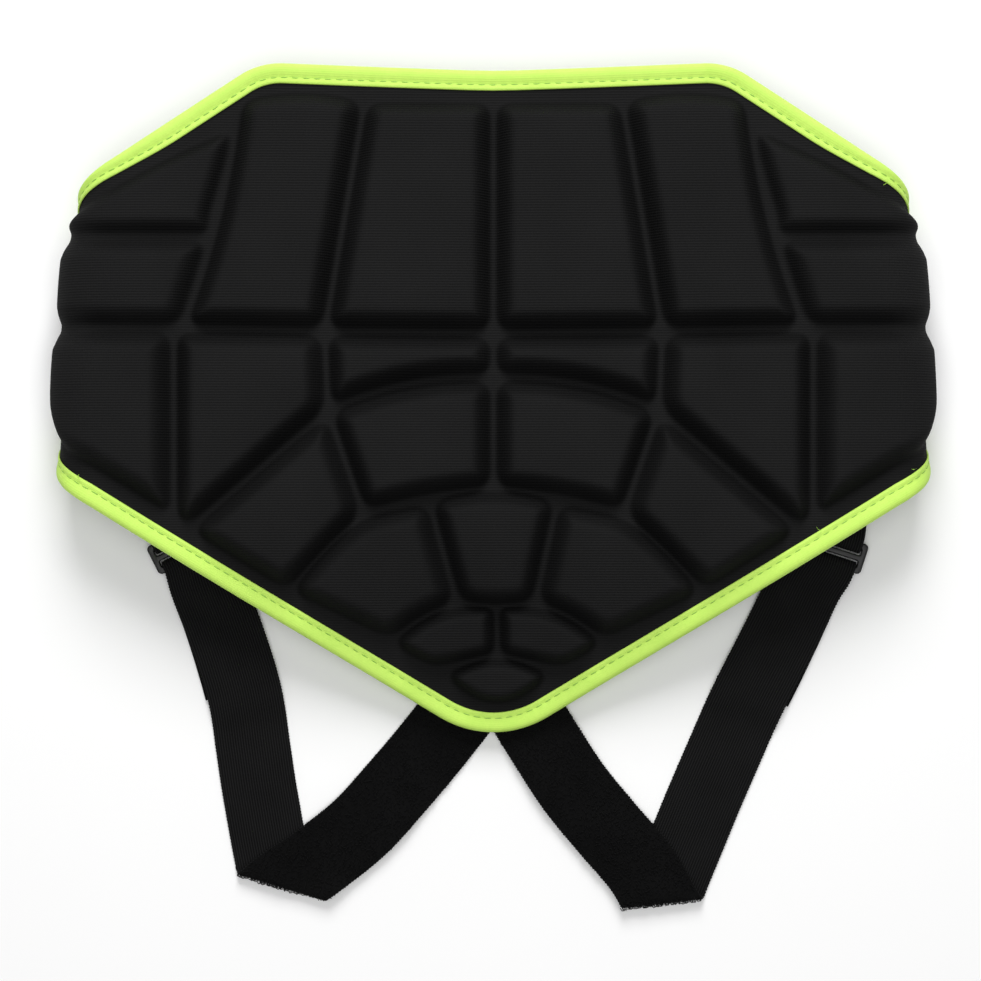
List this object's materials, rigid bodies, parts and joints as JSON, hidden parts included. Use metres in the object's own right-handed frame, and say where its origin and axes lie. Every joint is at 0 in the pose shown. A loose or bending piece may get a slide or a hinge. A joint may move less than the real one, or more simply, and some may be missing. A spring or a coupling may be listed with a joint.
{
  "type": "padded hip and tailbone protector",
  "caption": "Wrap-around padded protector for hips and tailbone: moulded-foam panel with raised pads, bound edge, closure wings behind and two folded elastic leg straps with sliders.",
  "frame": {"origin": "middle of the whole part's box, on the surface that it lies on", "axes": "+X across the hips to the right of the padded face, +Y up to the waist edge, +Z out of the padded face"},
  "size_m": [0.3566, 0.3424, 0.0401],
  "materials": {
    "knit_cover": "black fine-ribbed knit, matte",
    "edge_tape": "yellow-green stretch binding tape, soft satin",
    "elastic": "black ribbed elastic webbing, looped pile on one face",
    "closure": "black hook and loop tape",
    "slider": "black moulded plastic, satin"
  },
  "bodies": {
    "root": {"padded_panel": "knit_cover", "wing_left": "knit_cover", "wing_right": "knit_cover", "hook_patch": "closure", "loop_patch": "closure", "binding_upper": "edge_tape", "binding_lower": "edge_tape", "strap_left": "elastic", "strap_right": "elastic", "slider_left": "slider", "slider_right": "slider", "tab_left": "elastic", "tab_right": "elastic"}
  },
  "joints": []
}
